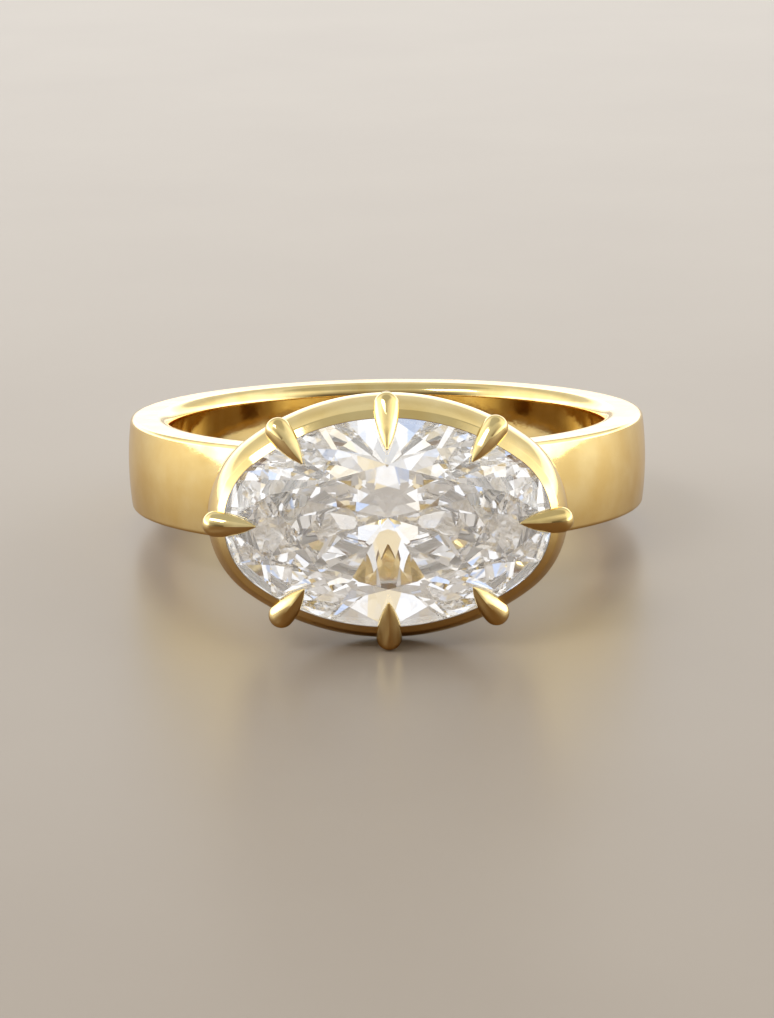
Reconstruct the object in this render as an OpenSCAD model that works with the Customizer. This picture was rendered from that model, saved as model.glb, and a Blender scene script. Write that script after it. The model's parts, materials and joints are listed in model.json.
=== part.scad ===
// Gold ring with an oval brilliant set across the finger in an eight-claw bezel cup.
// Millimetres, +Z up. The ring lies on its side as it rests by itself on a table, with the stone
// facing -Y: the bottom claw and the far edge of the band touch z = 0.

/* [Band] */
// Inner radius of the finger hole
finger_r = 8.45; // [8.1:0.05:8.7]
// Thickness of the band
band_t = 1.65; // [1.5:0.05:1.8]
// Width of the band along the finger
band_w = 3.5; // [3.2:0.1:3.8]
// Rounding of the inner edges, for comfort
comfort_r = 0.5; // [0.3:0.05:0.6]
// Rounding of the outer edges
edge_r = 0.12; // [0.08:0.02:0.2]

/* [Stone] */
// Length of the stone, along the band
stone_l = 11.5; // [11.3:0.1:11.7]
// Width of the stone, along the finger
stone_w = 7.5; // [7.3:0.1:7.7]
// Radius of the table's corners, as a share of the stone's
table_share = 0.58; // [0.54:0.01:0.62]
// Where the star facets end between table and girdle, as a share of that stretch
star_share = 0.5; // [0.45:0.01:0.55]
// How far the lower halves run from the girdle to the culet, as a share of the radius
lower_share = 0.76; // [0.7:0.01:0.8]
// Slope of the crown across the stone's width, in degrees
crown_angle = 34; // [32:0.5:36]
// Slope of the pavilion across the stone's width, in degrees
pavilion_angle = 40.8; // [39.5:0.1:41.5]
// Thickness of the girdle at the main facets
girdle_t = 0.25; // [0.2:0.01:0.3]
// Height of the culet above the band
culet_gap = 1.1; // [0.9:0.05:1.3]
// Gap between stone and metal
stone_gap = 0.03; // [0.02:0.01:0.04]

/* [Cup] */
// Width of the rim, from its outline in to the opening over the stone
rim_w = 0.67; // [0.62:0.01:0.74]
// Height of the rim's edge above its outline
rim_rise = 1.7; // [1.5:0.1:1.9]
// How far the rim covers the stone's edge
rim_cover = 0.1; // [0.08:0.01:0.14]
// Height of the rim's edge above the girdle
rim_above = 0.25; // [0.2:0.05:0.3]
// Width and rise of the bright-cut bevel along the rim's inner edge
bevel_w = 0.28; // [0.2:0.02:0.34]
bevel_rise = 0.2; // [0.15:0.05:0.25]
// Slope of the cup's wall towards the band, in degrees from upright
cup_slope = 30; // [26:1:31]
// How deep the cup's foot is sunk into the band for soldering
solder_sink = 0.25; // [0.2:0.05:0.3]

/* [Claws] */
// Radius of a claw's shoulder
claw_r = 0.45; // [0.42:0.01:0.5]
// Radius of a claw's tip
claw_tip_r = 0.05; // [0.04:0.01:0.08]
// Radius of a claw's post along the cup
post_r = 0.3; // [0.28:0.01:0.32]
// How far a post's centre lies in from the rim's outline
post_inset = 0.24; // [0.22:0.01:0.26]
// How far the shoulder's centre lies in from the rim's outline, at the two ends of the oval
end_inset = 0.34; // [0.28:0.02:0.36]
// The same in the middle of the two long sides
side_inset = 0.24; // [0.2:0.02:0.3]
// The same for the four diagonal claws, along their aim
diagonal_inset = 0.17; // [0.15:0.01:0.22]
// Reach of a talon from the shoulder's centre over the stone
claw_reach = 1.38; // [1.2:0.02:1.5]
// The same for the four diagonal claws
diagonal_reach = 1.3; // [1.2:0.02:1.4]
// Place of a diagonal claw on the outline, as the angle of the outline's normal
diagonal_normal = 62.5; // [60:0.5:65]
// Direction in which a diagonal claw points
diagonal_aim = 52; // [48:1:58]

/* [Hidden] */
$fn = 96;

band_r = finger_r + band_t;
sides = 64;          // flat sides of the girdle
main_count = 8;      // main facets, and claws
main_step = 360 / main_count;
half_step = main_step / 2;

// Unit brilliant: radius 1 at the girdle, heights from the girdle's upper edge
unit = stone_w / 2;
girdle_share = girdle_t / unit;
star_r = table_share * cos(half_step) + star_share * (1 - table_share * cos(half_step));
lower_r = 1 - lower_share;
pavilion_share = tan(pavilion_angle);
crown_share = (1 - table_share) * tan(crown_angle);

// Heights above the finger's axis, along the head
girdle_h = band_r + culet_gap + (pavilion_share + girdle_share) * unit;
rim_h = girdle_h + rim_above;
outline_h = rim_h - rim_rise;
foot_h = 9;          // below the band's surface at the cup's ends
seat_r = band_r - solder_sink;

// Four-arc oval of the rim's outline: end arcs about (+-arc_x, 0), side arcs about (0, +-arc_y).
// The arcs join on the long side of a 3-4-5 triangle between their centres.
outline_a = stone_l / 2 - rim_cover + rim_w;
outline_b = stone_w / 2 - rim_cover + rim_w;
half_difference = outline_a - outline_b;
arc_x = 1.5 * half_difference;
arc_y = 2 * half_difference;
end_r = outline_a - arc_x;
side_r = outline_b + arc_y;
join = [3, 4] / 5;

// Rest on a table: one line touches the rounding of the band's far lower edge and the bottom claw,
// at its post's knee or its shoulder. The box around the resting ring has its middle at x = y = 0.
claw_h = girdle_h + 0.02;
edge_y = band_r - edge_r;
edge_z = band_w / 2 - edge_r;
rest_tilt = max(
    tilt_on_ball(outline_h, outline_b - post_inset, post_r),
    tilt_on_ball(claw_h, outline_b - side_inset, claw_r)
);
lift = edge_y * sin(rest_tilt) + edge_z * cos(rest_tilt) + edge_r;
table_h = girdle_h + crown_share * unit;
front_reach = table_h * cos(rest_tilt) + table_share * unit * sin(rest_tilt);
back_reach = edge_y * cos(rest_tilt) + edge_z * sin(rest_tilt) + edge_r;

// Tilt of the line that touches the band's far lower edge and a ball below the head
function tilt_on_ball(height, below, radius) =
    let (along = height + edge_y, down = below - edge_z)
    asin((radius - edge_r) / norm([along, down])) + atan2(down, along);

// Turns and lifts the ring from the finger's axis onto the table
module resting() {
    translate([0, (front_reach - back_reach) / 2, lift]) rotate([-rest_tilt, 0, 0]) children();
}

// Head's own frame: x along the band, y up the finger, z out from the finger's axis
module on_head() {
    rotate([90, 0, 0]) children();
}

// Square corner minus its rounding, with the corner at the origin and the solid towards -x, -y
module corner_waste(r) {
    difference() {
        translate([-r, -r]) square(2 * r);
        translate([-r, -r]) circle(r);
        translate([-2 * r, -r]) square([r, r]);
    }
}

module band() {
    rotate_extrude() difference() {
        translate([finger_r, -band_w / 2]) square([band_t, band_w]);
        for (up = [0, 1]) mirror([0, up]) {
            translate([band_r, band_w / 2]) corner_waste(edge_r);
            translate([finger_r, band_w / 2]) mirror([1, 0]) corner_waste(comfort_r);
        }
    }
}

// Section of the cup's wall: x out from the rim's outline, y out from the finger's axis
module cup_section() {
    drop = outline_h - foot_h;
    slope_in = drop * tan(cup_slope);
    dome_w = rim_w - bevel_w;
    dome_rise = rim_rise - bevel_rise;
    dome_angle = 2 * atan(dome_w / dome_rise);
    dome_r = dome_rise / sin(dome_angle);
    polygon([
        [-slope_in, foot_h], [0, outline_h], [-rim_w, outline_h], [-rim_w - slope_in, foot_h]
    ]);
    intersection() {
        translate([-dome_r, outline_h]) circle(dome_r);
        polygon([
            [0, outline_h], [0, outline_h + dome_rise], [-dome_w, outline_h + dome_rise],
            [-rim_w, rim_h], [-rim_w, outline_h]
        ]);
    }
}

// One arc of the cup's wall, within the wedge between two directions from the arc's centre
module cup_arc(centre, radius, from, to) {
    reach = 4 * outline_a;
    translate(centre) intersection() {
        rotate_extrude() translate([radius, 0]) cup_section();
        linear_extrude(2 * rim_h) polygon([[0, 0], from * reach, (from + to) * reach, to * reach]);
    }
}

module cup() {
    for (turn = [1, -1]) {
        cup_arc([turn * arc_x, 0], end_r, [turn * join.x, -join.y], [turn * join.x, join.y]);
        cup_arc([0, -turn * arc_y], side_r, [join.x, turn * join.y], [-join.x, turn * join.y]);
    }
}

// Point of the rim's outline whose normal has this angle
function outline_point(angle) =
    abs(sin(angle)) < join.y
        ? [sign(cos(angle)) * arc_x + end_r * cos(angle), end_r * sin(angle)]
        : [side_r * cos(angle), -sign(sin(angle)) * arc_y + side_r * sin(angle)];

// Angle that the first quarter's diagonal claw has, carried to the claw at this azimuth
function mirrored(azimuth, angle) =
    azimuth % 90 == 0 ? azimuth
    : azimuth % 180 < 90 ? azimuth - main_step + angle
    : azimuth + main_step - angle;

// Rise of the main facet at this azimuth, seen along the aim
function facet_rise(azimuth, aim) =
    tan(crown_angle) * unit * (cos(aim) * cos(azimuth) / (stone_l / 2)
        + sin(aim) * sin(azimuth) / (stone_w / 2));

// Half section of a talon about its length: a round shoulder, then an arc to the tip
module talon_section(length) {
    narrowing = claw_r - claw_tip_r;
    arc_r = (length * length + narrowing * narrowing) / (2 * narrowing);
    intersection() {
        circle(claw_r);
        translate([0, -2 * claw_r]) square(2 * claw_r);
    }
    intersection() {
        translate([claw_r - arc_r, 0]) circle(arc_r);
        square([claw_r, length]);
    }
}

// Post in the cup's wall, from the talon down to the rim's outline, then along the wall
module claw_post() {
    drop = outline_h - foot_h;
    inside = 0.96;   // the two lengths meet the round knee just inside it
    translate([-post_inset, 0, outline_h]) {
        sphere(post_r);
        cylinder(r = post_r * inside, h = claw_h - outline_h);
        rotate([0, cup_slope - 180, 0]) cylinder(r = post_r * inside, h = drop / cos(cup_slope));
    }
}

module claw(azimuth) {
    diagonal = azimuth % 90 != 0;
    inset = diagonal ? diagonal_inset : azimuth % 180 == 0 ? end_inset : side_inset;
    reach = diagonal ? diagonal_reach : claw_reach;
    aim = mirrored(azimuth, diagonal_aim);
    wall_angle = mirrored(azimuth, diagonal_normal);
    rise = atan(facet_rise(azimuth, aim));
    translate(outline_point(wall_angle)) {
        rotate([0, 0, wall_angle]) claw_post();
        rotate([0, 0, aim]) translate([-inset, 0, claw_h]) rotate([0, rise - 90, 0])
            rotate_extrude() talon_section(reach / cos(rise));
    }
}

// Unit brilliant's point, stretched to the stone's size
function stretched(radius, azimuth, height) =
    [radius * cos(azimuth) * stone_l / 2, radius * sin(azimuth) * stone_w / 2, height * unit];

function crown_point(radius, azimuth) =
    stretched(radius, azimuth, (1 - radius * cos(azimuth % main_step)) * tan(crown_angle));

function pavilion_point(radius, azimuth) =
    stretched(radius, azimuth, -girdle_share - (1 - radius * cos(azimuth % main_step)) * pavilion_share);

// Plane through three points, as its outward normal and its distance from the stone's middle
function facet(p, q, r) =
    let (normal = cross(q - p, r - p) / norm(cross(q - p, r - p)), out = normal * sign(normal * p))
    [out, out * p];

// All planes of the cut, with the girdle's upper edge at z = 0
function facets() = [
    for (i = [0:main_count - 1])
        let (
            main = i * main_step,
            corner = stretched(1, main, 0),
            low_corner = stretched(1, main, -girdle_share),
            table_corner = crown_point(table_share, main),
            star_point = crown_point(star_r, main + half_step)
        )
        each [
            facet(corner, table_corner, star_point),
            facet(table_corner, crown_point(table_share, main + main_step), star_point),
            facet(low_corner, pavilion_point(0, main), pavilion_point(lower_r, main + half_step)),
            for (side = [-half_step, half_step])
                each [
                    facet(corner, stretched(1, main + side, 0), crown_point(star_r, main + side)),
                    facet(low_corner, stretched(1, main + side, -girdle_share),
                        pavilion_point(lower_r, main + side))
                ]
        ]
];

// Oval blank, with its table and girdle
module blank(grow) {
    half_l = stone_l / 2 + grow;
    half_w = stone_w / 2 + grow;
    bottom = -(girdle_share + pavilion_share) * unit - 2 * grow;
    top = crown_share * unit + grow;
    translate([0, 0, bottom]) linear_extrude(top - bottom) polygon([
        for (i = [0:sides - 1]) [half_l * cos(360 * i / sides), half_w * sin(360 * i / sides)]
    ]);
}

// Blank with the first planes of the list cut, one after another, each moved out by grow
module cut_down(planes, count, grow) {
    size = 3 * stone_l;
    if (count == 0) blank(grow);
    else difference() {
        cut_down(planes, count - 1, grow);
        out = planes[count - 1][0];
        translate(out * (planes[count - 1][1] + grow)) rotate([0, acos(out.z), atan2(out.y, out.x)])
            translate([-size / 2, -size / 2, 0]) cube(size);
    }
}

module brilliant(grow = 0) {
    planes = facets();
    cut_down(planes, len(planes), grow);
}

module setting() {
    difference() {
        union() {
            cup();
            for (i = [0:main_count - 1]) claw(i * main_step);
        }
        rotate([90, 0, 0]) cylinder(r = seat_r, h = 2 * outline_a, center = true);
        translate([0, 0, girdle_h]) brilliant(stone_gap);
    }
}

module band_and_setting() {
    color("goldenrod") resting() union() {
        band();
        on_head() setting();
    }
}

module stone() {
    color("aliceblue") resting() on_head() translate([0, 0, girdle_h]) brilliant();
}

band_and_setting();
stone();
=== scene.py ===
# A gold ring with an oval brilliant across the finger, lying on its side: its looks around the frame.
import json
import math

import bmesh
import bpy
from mathutils import Matrix, Vector


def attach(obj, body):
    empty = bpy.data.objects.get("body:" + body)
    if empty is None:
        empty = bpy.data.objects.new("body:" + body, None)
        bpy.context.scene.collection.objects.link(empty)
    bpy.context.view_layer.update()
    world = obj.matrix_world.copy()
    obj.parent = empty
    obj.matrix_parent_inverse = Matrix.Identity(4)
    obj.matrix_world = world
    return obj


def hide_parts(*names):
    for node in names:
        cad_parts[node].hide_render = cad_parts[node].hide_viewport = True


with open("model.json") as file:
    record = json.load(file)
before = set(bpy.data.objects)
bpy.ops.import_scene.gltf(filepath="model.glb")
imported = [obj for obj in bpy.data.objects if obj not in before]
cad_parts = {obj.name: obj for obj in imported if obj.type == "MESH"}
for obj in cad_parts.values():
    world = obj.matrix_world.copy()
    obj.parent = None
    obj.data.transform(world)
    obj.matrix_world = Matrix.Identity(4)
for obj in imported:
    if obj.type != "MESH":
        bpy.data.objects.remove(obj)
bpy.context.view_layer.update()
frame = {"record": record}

MM = 0.001

# Band
BAND_T = 1.65 * MM
BAND_W = 3.5 * MM
COMFORT_R = 0.5 * MM
EDGE_R = 0.16 * MM
BAND_CROWN = 0.1 * MM   # the polished outer wall is this much higher in its middle than at its edges
BAND_STEPS = 360
CROWN_STEPS = 16
EDGE_STEPS = 10
COMFORT_STEPS = 14
BAND_CREASE = 40   # degrees: edges sharper than this stay sharp

# Stone
STONE_L = 11.5 * MM
STONE_W = 7.5 * MM
TABLE_SHARE = 0.58
STAR_SHARE = 0.5
LOWER_SHARE = 0.76
CROWN = math.radians(34)
PAVILION = math.radians(40.8)
GIRDLE_T = 0.25 * MM
CULET_GAP = 1.1 * MM
STONE_GAP = 0.03 * MM
SIDES = 64
MAINS = 8
CUT_MERGE = 1e-8   # metres: points closer than this are one while a facet is cut
CORNER_MERGE = 1e-7   # the same, once all facets are cut

# Cup
RIM_W = 0.67 * MM
RIM_RISE = 1.7 * MM
RIM_COVER = 0.1 * MM
RIM_ABOVE = 0.25 * MM
BEVEL_W = 0.28 * MM
BEVEL_RISE = 0.2 * MM
CUP_SLOPE = math.radians(30)
SOLDER_SINK = 0.25 * MM
FOOT_H = 9 * MM
CUP_STEPS = 480
DOME_STEPS = 18
CUP_CREASE = 12

# Claws
CLAW_R = 0.45 * MM
CLAW_TIP_R = 0.05 * MM
CLAW_RISE_H = 0.02 * MM
POST_R = 0.3 * MM
POST_INSET = 0.24 * MM
END_INSET = 0.34 * MM
SIDE_INSET = 0.24 * MM
DIAGONAL_INSET = 0.17 * MM
CLAW_REACH = 1.38 * MM
DIAGONAL_REACH = 1.3 * MM
DIAGONAL_NORMAL = 62.5
DIAGONAL_AIM = 52
FLANK = 34   # degrees from the keel to the middle of each flattened flank
KEEL = 0.65   # share of the flattening: at 0 the talons are round, at 1 their flanks are flat
CLAW_SIDES = 48
SHOULDER_STEPS = 16
TALON_STEPS = 40
TIP_STEPS = 6
KNEE_STEPS = 6
CLAW_CREASE = 30

# Gold, and the paler polish of the seat behind the stone: deep and light tone, least and most rough
GOLD_TONES = (0.88, 0.66, 0.26), (0.99, 0.81, 0.4)
GOLD_ROUGH = (0.03, 0.12)
SEAT_TONES = (0.96, 0.95, 0.93), (0.98, 0.97, 0.95)
SEAT_ROUGH = (0.0, 0.02)

# Noise as (scale per metre, detail) for the metal's patches of tone, long soft waves and wear marks
TONE_NOISE = (700, 5)
TONE_SPAN = (0.35, 0.7)   # of the noise, from the deep tone to the light one
WAVE_NOISE = (260, 1)
WAVE_H = 0.012 * MM
MARK_NOISE = (1600, 4)
MARK_H = 0.004 * MM

# Stone: refraction, and the haze of its ground girdle
DIAMOND_IOR = 2.417
GIRDLE_HAZE = 0.3

# Floor: its own tones, the two of painted shade that the metal mirrors in their place, and the brighter
# one of painted light that is seen through the stone in their place
FLOOR_SIZE = 3.0
FLOOR_NOISE = (60, 4)
FLOOR_ROUGHNESS = 0.34
FLOOR_SHADE = (0.4, 0.34, 0.28)
FLOOR_LIGHT = (0.46, 0.4, 0.33)
# Painted shade: darker, browner tones that the metal mirrors in place of the floor, the first in front of
# the ring and the second behind it
SHADE_PAINTED_IN_METAL = (0.18, 0.095, 0.04)
SHADE_PAINTED_BEHIND_IN_METAL = (0.32, 0.21, 0.1)
# Painted light: a bright tone that rays leaving the stone meet in place of the floor
LIGHT_PAINTED_IN_STONE = (0.75, 0.71, 0.66)

# World light as (height of the direction, brightness, tint), from the floor's level to the top
TAN = (1.0, 0.84, 0.66)
WARM = (1.0, 0.93, 0.86)
WHITE = (1.0, 0.99, 0.97)
FRONT_SKY = [
    (-0.05, 0.08, TAN), (0.0, 0.1, TAN), (0.3, 0.16, TAN), (0.6, 0.4, WARM),
    (0.85, 0.48, WHITE), (1.0, 0.5, WHITE),
]
SIDE_SKY = [
    (-0.05, 1.5, WARM), (0.0, 2.7, WHITE), (0.1, 3.2, WHITE), (0.24, 3.0, WHITE),
    (0.36, 1.6, WHITE), (0.7, 1.3, WHITE), (0.83, 0.9, WHITE), (0.89, 0.5, WHITE),
]
BACK_SKY = [
    (-0.05, 0.5, WARM), (0.0, 1.3, WHITE), (0.1, 2.4, WHITE), (0.24, 1.9, WHITE),
    (0.36, 0.75, WHITE), (1.0, 0.5, WHITE),
]
FRONT_TO_SIDE = (-0.8, -0.2)   # depths of the direction in which one gradient turns into the next
SIDE_TO_BACK = (0.3, 0.8)

# Panels of light in the stone: cells over all directions, their brightness and (share, tint)
PANEL_CELLS = 3.0
PANEL_DIM = 0.85
PANEL_BRIGHT = 1.4
PANEL_TINTS = [
    (0.1, (0.62, 0.74, 1.0)), (0.3, (0.97, 0.98, 1.0)), (0.75, (1.0, 0.98, 0.95)),
    (0.9, (1.0, 0.86, 0.6)),
]

# Camera, fitted to the photograph's outlines
VIEW_ABOVE_STONE = math.radians(9.89)   # between the line of sight and the stone's axis
CAMERA_DISTANCE = 121.5 * MM
HOLE_RIGHT = 0.024 * MM   # from the middle of the frame to that of the finger hole
HOLE_UP = 2.08 * MM
ROLL = math.radians(0.7)
FOCAL_PX = 3095
FRAME_PX = 1018
SENSOR = 36

# Light is followed this often, because it goes from facet to facet inside the stone
LIGHT_BOUNCES = 96

# Worked out from the frame and the sizes above
hole = next(m for m in frame["record"]["mounts"] if m["name"] == "finger_hole")
FINGER_R = hole["dims"]["r_mm"] * MM
TILT = math.atan2(hole["axis"][1], hole["axis"][2])
RING = Matrix.Translation(hole["pos_m"]) @ Matrix.Rotation(-TILT, 4, "X")
HEAD = RING @ Matrix.Rotation(math.pi / 2, 4, "X")   # x along the band, y up the finger, z out

BAND_R = FINGER_R + BAND_T
UNIT = STONE_W / 2
STEP = 360 / MAINS
GIRDLE_SHARE = GIRDLE_T / UNIT
STAR_R = TABLE_SHARE * math.cos(math.radians(STEP / 2))
STAR_R += STAR_SHARE * (1 - STAR_R)
GIRDLE_H = BAND_R + CULET_GAP + (math.tan(PAVILION) + GIRDLE_SHARE) * UNIT
OUTLINE_H = GIRDLE_H + RIM_ABOVE - RIM_RISE
OUTLINE_A = STONE_L / 2 - RIM_COVER + RIM_W
OUTLINE_B = STONE_W / 2 - RIM_COVER + RIM_W
ARC_X = 1.5 * (OUTLINE_A - OUTLINE_B)
ARC_Y = 2 * (OUTLINE_A - OUTLINE_B)
ARC_JOINT = ARC_Y / math.hypot(ARC_X, ARC_Y)   # sine of the normal's angle where end and side arc meet
END_R = OUTLINE_A - ARC_X
SIDE_R = OUTLINE_B + ARC_Y


def cosd(angle):
    return math.cos(math.radians(angle))


def sind(angle):
    return math.sin(math.radians(angle))


def arc(centre, radius, start, end, steps):
    """Points along an arc, from one angle to another in degrees."""
    angles = [start + (end - start) * i / steps for i in range(steps + 1)]
    return [(centre[0] + radius * cosd(a), centre[1] + radius * sind(a)) for a in angles]


def skin(bm, rings, round_trip=False):
    """Quads between closed rings of points. The ends are capped, or joined on a round trip."""
    rows = [[bm.verts.new(point) for point in ring] for ring in rings]
    pairs = list(zip(rows, rows[1:]))
    if round_trip:
        pairs.append((rows[-1], rows[0]))
    else:
        bm.faces.new(rows[0])
        bm.faces.new(rows[-1])
    count = len(rows[0])
    for low, high in pairs:
        for i in range(count):
            j = (i + 1) % count
            bm.faces.new((low[i], low[j], high[j], high[i]))


def smooth(mesh, crease):
    """Smooth shading, in which edges sharper than crease stay sharp."""
    mesh.shade_smooth()
    mesh.set_sharp_from_angle(angle=math.radians(crease))


def make(name, bm, place=None, crease=None):
    """An object from a bmesh: flat facets, or smooth with edges sharper than crease kept."""
    if place:
        bm.transform(place)
    bmesh.ops.recalc_face_normals(bm, faces=bm.faces)
    mesh = bpy.data.meshes.new(name)
    bm.to_mesh(mesh)
    bm.free()
    if crease:
        smooth(mesh, crease)
    piece = bpy.data.objects.new(name, mesh)
    bpy.context.scene.collection.objects.link(piece)
    return piece


def boolean(piece, other, operation, crease=None):
    """The piece with another object cut away or joined on. The other object is used up."""
    modifier = piece.modifiers.new(operation, "BOOLEAN")
    modifier.operation = operation
    modifier.solver = "EXACT"
    modifier.object = other
    graph = bpy.context.evaluated_depsgraph_get()
    mesh = bpy.data.meshes.new_from_object(piece.evaluated_get(graph))
    piece.modifiers.clear()
    piece.data = mesh
    bpy.data.objects.remove(other)
    if crease:
        smooth(mesh, crease)
    return piece


# Band

def band_section():
    """Outline of the band's section, as radius and height along the finger."""
    half = BAND_W / 2
    corner = half - EDGE_R
    inner = half - COMFORT_R
    outer_r = BAND_R - BAND_CROWN - EDGE_R
    inner_r = FINGER_R + COMFORT_R
    edge_slope = math.degrees(math.atan(2 * BAND_CROWN / corner))
    heights = [corner * (2 * i / CROWN_STEPS - 1) for i in range(CROWN_STEPS + 1)]
    hold = 0.03 * MM   # rows beside each rounding keep the flats flat
    return [
        *[(BAND_R - BAND_CROWN * (h / corner) ** 2, h) for h in heights],
        *arc((outer_r, corner), EDGE_R, edge_slope, 90, EDGE_STEPS)[1:],
        (outer_r - hold, half),
        (inner_r + hold, half),
        *arc((inner_r, inner), COMFORT_R, 90, 180, COMFORT_STEPS),
        (FINGER_R, inner - hold),
        (FINGER_R, -inner + hold),
        *arc((inner_r, -inner), COMFORT_R, 180, 270, COMFORT_STEPS),
        (inner_r + hold, -half),
        (outer_r - hold, -half),
        *arc((outer_r, -corner), EDGE_R, 270, 360 - edge_slope, EDGE_STEPS)[:-1],
    ]


def build_band():
    bm = bmesh.new()
    section = band_section()
    turns = [360 * i / BAND_STEPS for i in range(BAND_STEPS)]
    skin(bm, [[(r * cosd(t), r * sind(t), z) for r, z in section] for t in turns], round_trip=True)
    return make("band", bm, RING, crease=BAND_CREASE)


# Stone

def stretched(radius, azimuth, height):
    """Point of the unit brilliant, stretched to the stone's size."""
    return Vector((
        radius * cosd(azimuth) * STONE_L / 2,
        radius * sind(azimuth) * STONE_W / 2,
        height * UNIT,
    ))


def crown_point(radius, azimuth):
    return stretched(radius, azimuth, (1 - radius * cosd(azimuth % STEP)) * math.tan(CROWN))


def pavilion_point(radius, azimuth):
    drop = (1 - radius * cosd(azimuth % STEP)) * math.tan(PAVILION)
    return stretched(radius, azimuth, -GIRDLE_SHARE - drop)


def facet(p, q, r):
    """Plane through three points, as a point on it and its outward normal."""
    normal = (q - p).cross(r - p).normalized()
    return p, normal if normal.dot(p) > 0 else -normal


def facets():
    """All planes of the cut, with the girdle's upper edge at height 0."""
    planes = []
    half = STEP / 2
    for i in range(MAINS):
        main = i * STEP
        corner = stretched(1, main, 0)
        low_corner = stretched(1, main, -GIRDLE_SHARE)
        table_corner = crown_point(TABLE_SHARE, main)
        star_point = crown_point(STAR_R, main + half)
        culet = pavilion_point(0, main)
        planes.append(facet(corner, table_corner, star_point))
        planes.append(facet(table_corner, crown_point(TABLE_SHARE, main + STEP), star_point))
        planes.append(facet(low_corner, culet, pavilion_point(1 - LOWER_SHARE, main + half)))
        for side in (-half, half):
            planes.append(facet(corner, stretched(1, main + side, 0), crown_point(STAR_R, main + side)))
            planes.append(facet(
                low_corner,
                stretched(1, main + side, -GIRDLE_SHARE),
                pavilion_point(1 - LOWER_SHARE, main + side),
            ))
    return planes


def cut_stone(name, grow=0.0):
    """The brilliant in place in the head, with every plane moved out by grow."""
    bm = bmesh.new()
    bottom = -(GIRDLE_SHARE + math.tan(PAVILION)) * UNIT - 2 * grow
    top = (1 - TABLE_SHARE) * math.tan(CROWN) * UNIT + grow
    around = [360 * i / SIDES for i in range(SIDES)]
    half_l = STONE_L / 2 + grow
    half_w = STONE_W / 2 + grow
    skin(bm, [[(half_l * cosd(t), half_w * sind(t), z) for t in around] for z in (bottom, top)])
    for point, normal in facets():
        everything = list(bm.verts) + list(bm.edges) + list(bm.faces)
        cut = bmesh.ops.bisect_plane(
            bm, geom=everything, plane_co=point + normal * grow, plane_no=normal,
            clear_outer=True, dist=CUT_MERGE,
        )
        rim = [e for e in cut["geom_cut"] if isinstance(e, bmesh.types.BMEdge)]
        bmesh.ops.contextual_create(bm, geom=rim)
    bmesh.ops.remove_doubles(bm, verts=bm.verts, dist=CORNER_MERGE)
    return make(name, bm, HEAD @ Matrix.Translation((0, 0, GIRDLE_H)))


# Cup

def outline_point(angle):
    """Point of the rim's outline whose normal has this angle in degrees."""
    if abs(sind(angle)) < ARC_JOINT:
        return Vector((math.copysign(ARC_X, cosd(angle)) + END_R * cosd(angle), END_R * sind(angle), 0))
    return Vector((SIDE_R * cosd(angle), -math.copysign(ARC_Y, sind(angle)) + SIDE_R * sind(angle), 0))


def cup_section():
    """Outline of the wall's section, as offset from the rim's outline and height."""
    drop = OUTLINE_H - FOOT_H
    slope_in = drop * math.tan(CUP_SLOPE)
    dome_w = RIM_W - BEVEL_W
    dome_rise = RIM_RISE - BEVEL_RISE
    dome_angle = math.degrees(2 * math.atan(dome_w / dome_rise))
    dome_r = dome_rise / sind(dome_angle)
    soft = 0.02 * MM
    lip = OUTLINE_H + RIM_RISE
    near = 0.04   # a row this share below the outline keeps the wall straight up to it
    arc_end = 0.985 * dome_angle   # the dome stops short of the bevel, which leaves a fine soft edge
    return [
        (-slope_in, FOOT_H),
        (-slope_in * 0.5, OUTLINE_H - drop * 0.5),
        (-slope_in * near, OUTLINE_H - drop * near),
        *arc((-dome_r, OUTLINE_H), dome_r, 0, arc_end, DOME_STEPS),
        (-dome_w - soft, OUTLINE_H + dome_rise + soft * BEVEL_RISE / BEVEL_W),
        (-RIM_W + soft, lip - soft * BEVEL_RISE / BEVEL_W),
        (-RIM_W, lip - soft),
        (-RIM_W, OUTLINE_H),
        (-RIM_W - slope_in, FOOT_H),
    ]


def build_cup():
    bm = bmesh.new()
    rings = []
    for i in range(CUP_STEPS):
        angle = 360 * i / CUP_STEPS
        base = outline_point(angle)
        out = Vector((cosd(angle), sind(angle), 0))
        rings.append([base + out * x + Vector((0, 0, h)) for x, h in cup_section()])
    skin(bm, rings, round_trip=True)
    return make("cup", bm, HEAD, crease=CUP_CREASE)


def line_seat(cup, band, material):
    """Gives the cup's inner walls and the band's stretch inside the cup a paler polish than the rest.

    The foot of the cup's wall, which hangs over beside the band, stays gold.
    """
    to_head = HEAD.inverted()
    for piece in (cup, band):
        piece.data.materials.append(material)
    for face in cup.data.polygons:
        place = to_head @ face.center
        normal = to_head.to_3x3() @ face.normal
        outward = normal.x * place.x / OUTLINE_A ** 2 + normal.y * place.y / OUTLINE_B ** 2
        if outward < 0 and place.z > BAND_R:
            face.material_index = 1
    mid_wall = RIM_W / 2 + (OUTLINE_H - BAND_R) * math.tan(CUP_SLOPE)
    faces_stone = 0.9
    for face in band.data.polygons:
        place = to_head @ face.center
        normal = to_head.to_3x3() @ face.normal
        spread = (place.x / (OUTLINE_A - mid_wall)) ** 2 + (place.y / (OUTLINE_B - mid_wall)) ** 2
        if normal.z > faces_stone and place.z > FINGER_R + COMFORT_R and spread < 1:
            face.material_index = 1


def saddle():
    """Block that takes away what would reach into the band from the cup and the posts."""
    bm = bmesh.new()
    around = [360 * i / BAND_STEPS for i in range(BAND_STEPS)]
    r = BAND_R - SOLDER_SINK
    skin(bm, [[(r * cosd(t), r * sind(t), z) for t in around] for z in (-2 * BAND_W, 2 * BAND_W)])
    return make("saddle", bm, RING)


# Claws

CLAW_TURNS = [360 * i / CLAW_SIDES for i in range(CLAW_SIDES)]


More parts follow.
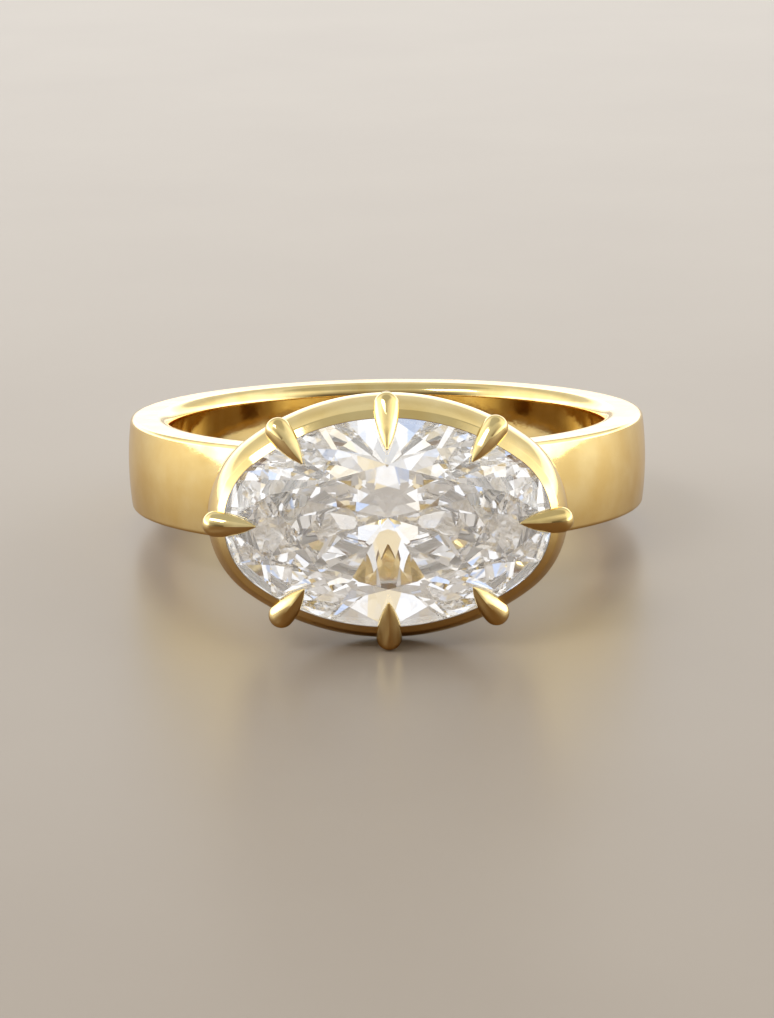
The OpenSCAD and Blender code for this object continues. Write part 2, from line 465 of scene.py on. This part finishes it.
def mirrored(azimuth, angle):
    """The first quarter's angle for a diagonal claw, carried to the claw at this azimuth."""
    if azimuth % 90 == 0:
        return azimuth
    return azimuth - STEP + angle if azimuth % 180 < 90 else azimuth + STEP - angle


def talon_ring(radius, z):
    """Section of a talon: round at the shoulder, further on with two flanks that meet in a keel at +x."""
    keel = KEEL * min(max(z / (2 * CLAW_R), 0), 1)
    ring = []
    for turn in CLAW_TURNS:
        off_keel = min(turn, 360 - turn)
        flat = cosd(FLANK) / cosd(off_keel - FLANK) if off_keel < 2 * FLANK else 1
        r = radius * (1 - keel * (1 - flat))
        ring.append((r * cosd(turn), r * sind(turn), z))
    return ring


def build_talon(name, place, length):
    """A talon that points along +z of its place: a round shoulder, then an arc to the tip."""
    narrowing = CLAW_R - CLAW_TIP_R
    arc_r = (length ** 2 + narrowing ** 2) / (2 * narrowing)
    end = math.degrees(math.asin(length / arc_r))
    profile = arc((0, 0), CLAW_R, -89, 0, SHOULDER_STEPS)
    profile += arc((CLAW_R - arc_r, 0), arc_r, 0, end, TALON_STEPS)[1:]
    profile += arc((0, length), CLAW_TIP_R, end, 88, TIP_STEPS)[1:]
    bm = bmesh.new()
    skin(bm, [talon_ring(r, z) for r, z in profile])
    return make(name, bm, place)


def build_post(place):
    """A post from the talon down to the knee at the rim's outline, then along the cup's wall."""
    drop = OUTLINE_H - FOOT_H
    circle = [Vector((POST_R * cosd(t), POST_R * sind(t), 0)) for t in CLAW_TURNS]
    top = Vector((0, 0, GIRDLE_H + CLAW_RISE_H - OUTLINE_H))
    foot = Vector((-drop * math.tan(CUP_SLOPE), 0, -drop))
    rings = [[Matrix.Rotation(CUP_SLOPE, 3, "Y") @ point + foot for point in circle]]
    for share in range(KNEE_STEPS + 1):
        bend = Matrix.Rotation(CUP_SLOPE * (1 - share / KNEE_STEPS), 3, "Y")
        rings.append([bend @ point for point in circle])
    rings.append([point + top for point in circle])
    bm = bmesh.new()
    skin(bm, rings)
    return make("post", bm, place @ Matrix.Translation((-POST_INSET, 0, OUTLINE_H)))


def build_claw(number):
    azimuth = number * STEP
    diagonal = azimuth % 90 != 0
    inset = DIAGONAL_INSET if diagonal else END_INSET if azimuth % 180 == 0 else SIDE_INSET
    reach = DIAGONAL_REACH if diagonal else CLAW_REACH
    aim = mirrored(azimuth, DIAGONAL_AIM)
    wall_angle = mirrored(azimuth, DIAGONAL_NORMAL)
    slope = math.tan(CROWN) * UNIT * (
        cosd(aim) * cosd(azimuth) / (STONE_L / 2) + sind(aim) * sind(azimuth) / (STONE_W / 2)
    )
    rise = math.atan(slope)
    spot = HEAD @ Matrix.Translation(outline_point(wall_angle))
    along = spot @ Matrix.Rotation(math.radians(aim), 4, "Z")
    shoulder = along @ Matrix.Translation((-inset, 0, GIRDLE_H + CLAW_RISE_H))
    lay = Matrix.Rotation(rise - math.pi / 2, 4, "Y")
    talon = build_talon(f"claw_{number + 1}", shoulder @ lay, reach / math.cos(rise))
    post = build_post(spot @ Matrix.Rotation(math.radians(wall_angle), 4, "Z"))
    return boolean(talon, post, "UNION")


# Materials

def new_material(name):
    material = bpy.data.materials.new(name)
    material.use_nodes = True
    nodes = material.node_tree.nodes
    return material, nodes, material.node_tree.links, nodes["Principled BSDF"]


def noise(nodes, links, where, kind):
    """Noise over the place on the piece. The kind is its scale and detail."""
    texture = nodes.new("ShaderNodeTexNoise")
    texture.inputs["Scale"].default_value = kind[0]
    texture.inputs["Detail"].default_value = kind[1]
    links.new(where, texture.inputs["Vector"])
    return texture.outputs["Fac"]


def bump(nodes, links, height, distance, below=None):
    """Normal of a surface with this relief, laid over another relief's normal."""
    relief = nodes.new("ShaderNodeBump")
    relief.inputs["Strength"].default_value = 1.0
    relief.inputs["Distance"].default_value = distance
    links.new(height, relief.inputs["Height"])
    if below is not None:
        links.new(below, relief.inputs["Normal"])
    return relief.outputs["Normal"]


def map_range(nodes, links, value, start=(0, 1), end=(0, 1), smooth=False):
    """The value, moved from one span to another and kept within it."""
    share = nodes.new("ShaderNodeMapRange")
    share.interpolation_type = "SMOOTHSTEP" if smooth else "LINEAR"
    share.inputs["From Min"].default_value = start[0]
    share.inputs["From Max"].default_value = start[1]
    share.inputs["To Min"].default_value = end[0]
    share.inputs["To Max"].default_value = end[1]
    links.new(value, share.inputs["Value"])
    return share.outputs["Result"]


def colour_ramp(nodes, links, factor, stops, eased=False):
    """Colour that runs through the stops, which are (factor, colour)."""
    ramp = nodes.new("ShaderNodeValToRGB")
    ramp.color_ramp.interpolation = "EASE" if eased else "LINEAR"
    elements = ramp.color_ramp.elements
    while len(elements) < len(stops):
        elements.new(0.5)
    for element, (position, colour) in zip(elements, stops):
        element.position = position
        element.color = (*colour, 1)
    links.new(factor, ramp.inputs["Fac"])
    return ramp.outputs["Color"]


def mix_colours(nodes, links, factor, low, high):
    """Colour that is low where the factor is 0 and high where it is 1. Both may be sockets."""
    mix = nodes.new("ShaderNodeMix")
    mix.data_type = "RGBA"
    links.new(factor, mix.inputs["Factor"])
    for name, colour in (("A", low), ("B", high)):
        if isinstance(colour, tuple):
            mix.inputs[name].default_value = (*colour, 1)
        else:
            links.new(colour, mix.inputs[name])
    return mix.outputs["Result"]


def polished(name, tones, rough):
    """Polished metal between two tones and two roughnesses, with soft waves and fine wear marks."""
    material, nodes, links, shader = new_material(name)
    shader.inputs["Metallic"].default_value = 1.0
    where = nodes.new("ShaderNodeTexCoord").outputs["Object"]
    tone = noise(nodes, links, where, TONE_NOISE)
    colour = colour_ramp(nodes, links, tone, list(zip(TONE_SPAN, tones)))
    links.new(colour, shader.inputs["Base Color"])
    links.new(map_range(nodes, links, tone, end=rough), shader.inputs["Roughness"])
    waves = bump(nodes, links, noise(nodes, links, where, WAVE_NOISE), WAVE_H)
    marks = bump(nodes, links, noise(nodes, links, where, MARK_NOISE), MARK_H, below=waves)
    links.new(marks, shader.inputs["Normal"])
    return material


def diamond():
    """Clear colourless diamond with a finely ground girdle."""
    material, nodes, links, shader = new_material("clear_diamond")
    shader.inputs["Base Color"].default_value = (1, 1, 1, 1)
    shader.inputs["Transmission Weight"].default_value = 1.0
    shader.inputs["IOR"].default_value = DIAMOND_IOR
    out = HEAD.to_3x3() @ Vector((0, 0, 1))
    middle = HEAD @ Vector((0, 0, GIRDLE_H - GIRDLE_T / 2))
    height = nodes.new("ShaderNodeVectorMath")
    height.operation = "DOT_PRODUCT"
    height.inputs[1].default_value = out
    links.new(nodes.new("ShaderNodeTexCoord").outputs["Object"], height.inputs[0])
    girdle = nodes.new("ShaderNodeMath")
    girdle.operation = "COMPARE"
    girdle.inputs[1].default_value = middle.dot(out)
    girdle.inputs[2].default_value = GIRDLE_T / 2
    links.new(height.outputs["Value"], girdle.inputs[0])
    haze = map_range(nodes, links, girdle.outputs["Value"], end=(0, GIRDLE_HAZE))
    links.new(haze, shader.inputs["Roughness"])
    return material


def pale_floor():
    """Smooth pale table top. The metal mirrors painted shade in its place, deeper in front of the ring
    than behind it, and the stone shows painted light in its place.
    """
    material, nodes, links, shader = new_material("pale_floor")
    shader.inputs["Roughness"].default_value = FLOOR_ROUGHNESS
    where = nodes.new("ShaderNodeTexCoord").outputs["Object"]
    clouds = noise(nodes, links, where, FLOOR_NOISE)
    tone = colour_ramp(nodes, links, clouds, [(0, FLOOR_SHADE), (1, FLOOR_LIGHT)])
    split = nodes.new("ShaderNodeSeparateXYZ")
    links.new(where, split.inputs["Vector"])
    # Painted shade, deeper in front of the ring than behind it
    behind = map_range(nodes, links, split.outputs["Y"], start=(-BAND_R, BAND_R))
    painted_shade_tone = mix_colours(nodes, links, behind, SHADE_PAINTED_IN_METAL, SHADE_PAINTED_BEHIND_IN_METAL)
    path = nodes.new("ShaderNodeLightPath").outputs
    # Painted shade: rays that the metal mirrors see it in place of the floor's own tone
    tone_or_painted_shade = mix_colours(nodes, links, path["Is Glossy Ray"], tone, painted_shade_tone)
    # Painted light: rays that leave the stone see this brighter tone in place of the floor
    whole = mix_colours(nodes, links, path["Is Transmission Ray"], tone_or_painted_shade, LIGHT_PAINTED_IN_STONE)
    links.new(whole, shader.inputs["Base Color"])
    return material


# Stage, lights and camera

def build_floor():
    bm = bmesh.new()
    bmesh.ops.create_grid(bm, x_segments=8, y_segments=8, size=FLOOR_SIZE / 2)
    floor = make("floor", bm)
    floor.data.materials.append(pale_floor())


def gradient(nodes, links, height, sky_stops):
    """World colour over the height of the direction, which goes from -1 to 1."""
    factor = map_range(nodes, links, height, start=(-1, 1))
    stops = [
        ((place + 1) / 2, tuple(brightness * part for part in tint))
        for place, brightness, tint in sky_stops
    ]
    return colour_ramp(nodes, links, factor, stops, eased=True)


def panels(nodes, links, direction):
    """Panels of light that only the stone's facets show: crisp patches of several tones and tints."""
    cells = nodes.new("ShaderNodeTexVoronoi")
    cells.inputs["Scale"].default_value = PANEL_CELLS
    links.new(direction, cells.inputs["Vector"])
    parts = nodes.new("ShaderNodeSeparateColor")
    links.new(cells.outputs["Color"], parts.inputs["Color"])
    lit = nodes.new("ShaderNodeVectorMath")
    lit.operation = "SCALE"
    links.new(colour_ramp(nodes, links, parts.outputs["Green"], PANEL_TINTS), lit.inputs["Vector"])
    brightness = map_range(nodes, links, parts.outputs["Red"], end=(PANEL_DIM, PANEL_BRIGHT))
    links.new(brightness, lit.inputs["Scale"])
    return lit.outputs["Vector"]


def build_world():
    """World light: a gradient over height for the front, the sides and the back, and the panels."""
    world = bpy.data.worlds.new("studio")
    bpy.context.scene.world = world
    world.use_nodes = True
    nodes = world.node_tree.nodes
    links = world.node_tree.links
    direction = nodes.new("ShaderNodeTexCoord").outputs["Generated"]
    split = nodes.new("ShaderNodeSeparateXYZ")
    links.new(direction, split.inputs["Vector"])
    front, side, back = [
        gradient(nodes, links, split.outputs["Z"], stops) for stops in (FRONT_SKY, SIDE_SKY, BACK_SKY)
    ]
    beside = map_range(nodes, links, split.outputs["Y"], start=FRONT_TO_SIDE, smooth=True)
    behind = map_range(nodes, links, split.outputs["Y"], start=SIDE_TO_BACK, smooth=True)
    near = mix_colours(nodes, links, beside, front, side)
    whole = mix_colours(nodes, links, behind, near, back)
    path = nodes.new("ShaderNodeLightPath").outputs
    seen = mix_colours(nodes, links, path["Is Transmission Ray"], whole, panels(nodes, links, direction))
    links.new(seen, nodes["Background"].inputs["Color"])


def softbox(name, azimuth, elevation, distance, width, height, radiance, colour):
    """Area light on a sphere round the ring, aimed at it. Azimuth 0 is the camera's side."""
    light = bpy.data.lights.new(name, "AREA")
    light.shape = "RECTANGLE"
    light.size = width
    light.size_y = height
    light.energy = radiance * math.pi * width * height
    light.color = colour
    lamp = bpy.data.objects.new(name, light)
    out = Vector((
        sind(azimuth) * cosd(elevation),
        -cosd(azimuth) * cosd(elevation),
        sind(elevation),
    ))
    lamp.location = Vector(hole["pos_m"]) + out * distance
    lamp.rotation_euler = out.to_track_quat("Z", "Y").to_euler()
    lamp.visible_transmission = False
    bpy.context.scene.collection.objects.link(lamp)


def build_camera():
    """Camera at the photograph's angle, distance and framing."""
    elevation = TILT + VIEW_ABOVE_STONE
    view = Vector((0, math.cos(elevation), -math.sin(elevation)))
    up = Vector((0, math.sin(elevation), math.cos(elevation)))
    right = Vector((1, 0, 0))
    camera_data = bpy.data.cameras.new("camera")
    camera_data.sensor_fit = "VERTICAL"
    camera_data.sensor_height = SENSOR
    camera_data.lens = SENSOR * FOCAL_PX / FRAME_PX
    camera_data.clip_start = 1 * MM
    camera = bpy.data.objects.new("camera", camera_data)
    place = Vector(hole["pos_m"]) - view * CAMERA_DISTANCE - right * HOLE_RIGHT - up * HOLE_UP
    basis = Matrix((right, up, -view)).transposed().to_4x4()
    camera.matrix_world = Matrix.Translation(place) @ basis @ Matrix.Rotation(-ROLL, 4, "Z")
    bpy.context.scene.collection.objects.link(camera)
    bpy.context.scene.camera = camera


def finish_piece(piece, material, node):
    """The piece's looks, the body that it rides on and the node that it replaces."""
    piece.data.materials.clear()
    piece.data.materials.append(material)
    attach(piece, "root")
    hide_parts(node)


build_camera()
metal = polished("polished_gold", GOLD_TONES, GOLD_ROUGH)
seat_metal = polished("pale_seat", SEAT_TONES, SEAT_ROUGH)
clear = diamond()

band = build_band()
finish_piece(band, metal, "band_and_setting")
cup = build_cup()
boolean(cup, saddle(), "DIFFERENCE")
boolean(cup, cut_stone("cutter", STONE_GAP), "DIFFERENCE", crease=CUP_CREASE)
finish_piece(cup, metal, "band_and_setting")
line_seat(cup, band, seat_metal)
for number in range(MAINS):
    claw = build_claw(number)
    boolean(claw, saddle(), "DIFFERENCE")
    boolean(claw, cut_stone("cutter", STONE_GAP), "DIFFERENCE", crease=CLAW_CREASE)
    finish_piece(claw, metal, "band_and_setting")
stone = cut_stone("brilliant")
finish_piece(stone, clear, "stone")

build_floor()
build_world()
softbox(
    "key", azimuth=-50, elevation=50, distance=0.5, width=0.2, height=0.12, radiance=5.0,
    colour=(1.0, 0.98, 0.95),
)

scene = bpy.context.scene
scene.view_settings.view_transform = "Standard"
scene.cycles.max_bounces = LIGHT_BOUNCES
scene.cycles.transmission_bounces = LIGHT_BOUNCES
scene.cycles.glossy_bounces = LIGHT_BOUNCES
